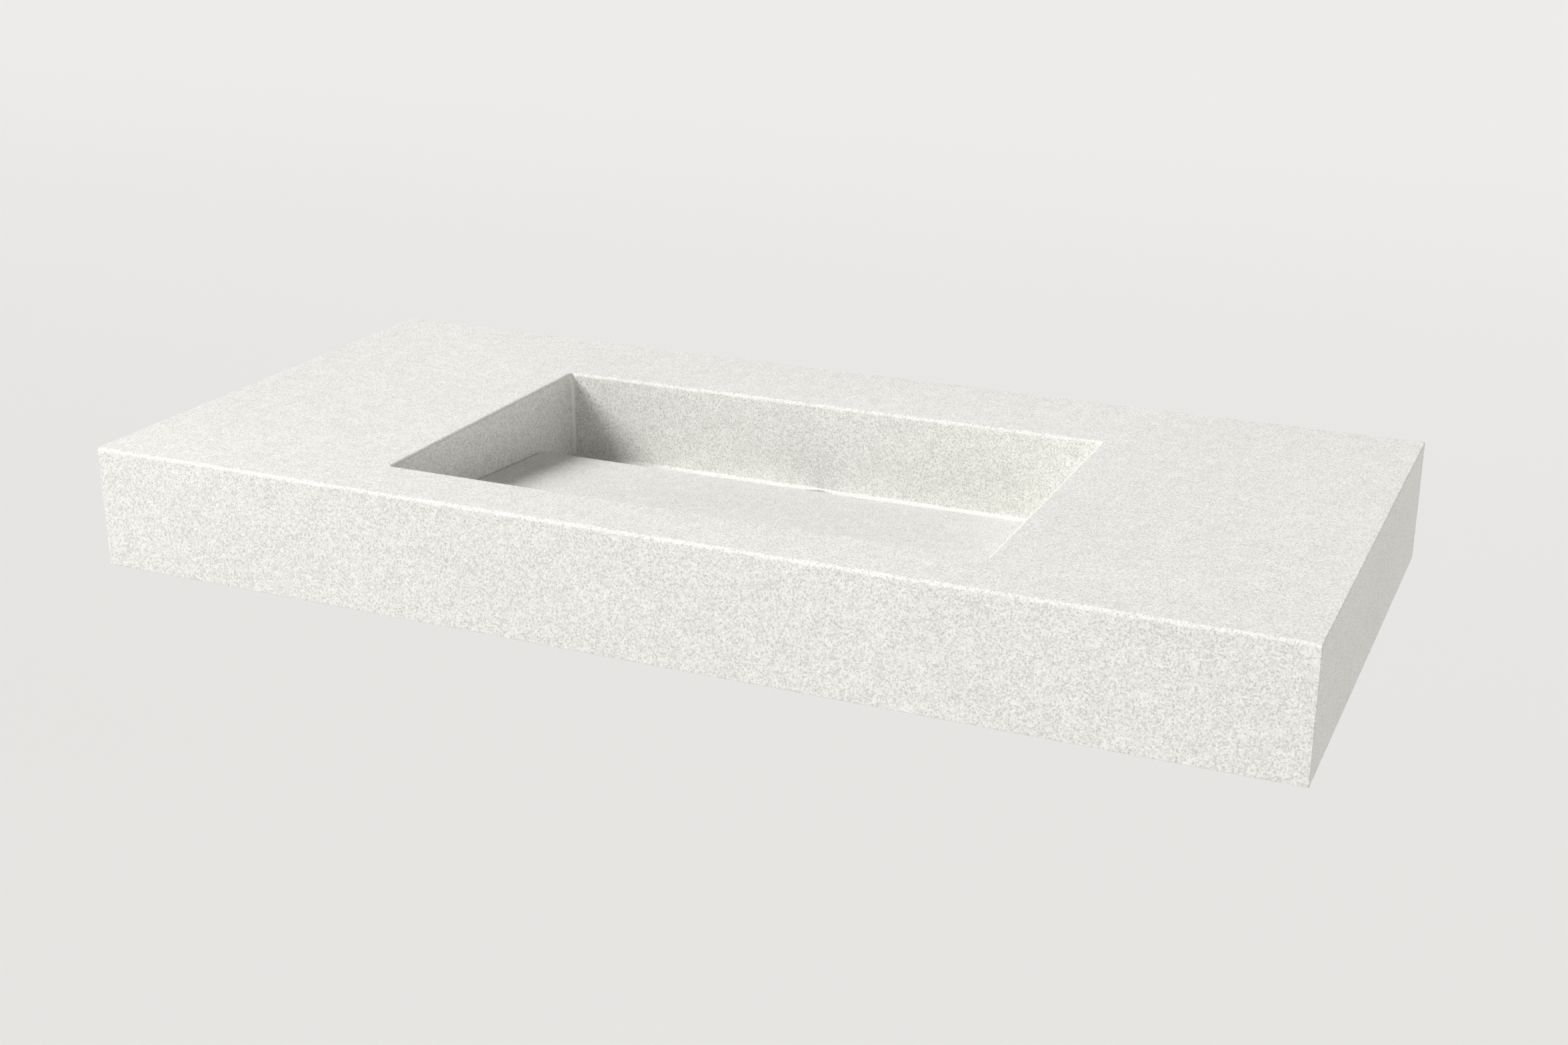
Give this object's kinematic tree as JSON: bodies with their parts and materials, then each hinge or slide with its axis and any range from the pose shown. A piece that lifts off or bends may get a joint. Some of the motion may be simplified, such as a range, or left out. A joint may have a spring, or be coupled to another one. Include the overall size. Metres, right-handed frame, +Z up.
{
  "type": "wall-hung slab washbasin",
  "caption": "Wall-hung rectangular stone washbasin with a lift-out sloping ramp, a rear drain slot over a hidden trough, a grid waste and steel wall brackets.",
  "frame": {"origin": "centre of the back face, on the wall plane, halfway up the slab", "axes": "+X to the right seen from the front, +Y into the wall, +Z up"},
  "size_m": [1.2, 0.558, 0.212],
  "materials": {
    "stone": "honed engineered stone with a fine speckle",
    "plywood": "sealed birch plywood",
    "bracket_steel": "satin black powder coat",
    "zinc": "bright zinc plate",
    "chrome": "polished chrome",
    "brass": "turned brass",
    "rubber": "matt black rubber",
    "nylon": "natural nylon"
  },
  "bodies": {
    "basin": {"top_deck": "stone", "front_apron": "stone", "left_end_panel": "stone", "right_end_panel": "stone", "back_panel": "stone", "bowl_front_wall": "stone", "bowl_back_wall": "stone", "bowl_left_wall": "stone", "bowl_right_wall": "stone", "trough_slab": "stone", "ramp_rest_front": "stone", "ramp_rest_left": "stone", "ramp_rest_right": "stone", "ramp_bumper_left_front": "rubber", "ramp_bumper_left_back": "rubber", "ramp_bumper_right_front": "rubber", "ramp_bumper_right_back": "rubber", "waste_body": "chrome", "flange_seal": "rubber", "lower_seal": "rubber", "slip_washer": "nylon", "backnut": "brass", "tailpiece": "chrome", "tailpiece_seal": "rubber", "tailpiece_locknut": "chrome", "bearer_left_inner": "plywood", "bearer_left_outer": "plywood", "bearer_right_inner": "plywood", "bearer_right_outer": "plywood", "cross_rail_left_front": "plywood", "cross_rail_left_rear": "plywood", "cross_rail_right_front": "plywood", "cross_rail_right_rear": "plywood", "front_stiffener": "plywood", "rear_stiffener": "plywood", "arm_pad_left": "rubber", "arm_pad_right": "rubber", "wall_plate_left": "bracket_steel", "wall_plate_right": "bracket_steel", "bracket_arm_left": "bracket_steel", "bracket_arm_right": "bracket_steel", "bracket_web_left": "bracket_steel", "bracket_web_right": "bracket_steel", "bracket_screw_left_front": "zinc", "bracket_screw_left_rear": "zinc", "bracket_screw_right_front": "zinc", "bracket_screw_right_rear": "zinc", "bracket_washer_left_front": "zinc", "bracket_washer_left_rear": "zinc", "bracket_washer_right_front": "zinc", "bracket_washer_right_rear": "zinc"},
    "ramp": {"ramp": "stone"},
    "strainer": {"strainer": "chrome"}
  },
  "joints": [
    {"name": "ramp_lift", "type": "slide", "parent": "basin", "child": "ramp", "axis": [0, 0, 1], "range_m": [0, 0.12]},
    {"name": "strainer_lift", "type": "slide", "parent": "basin", "child": "strainer", "axis": [0, 0, 1], "range_m": [0, 0.12]}
  ]
}
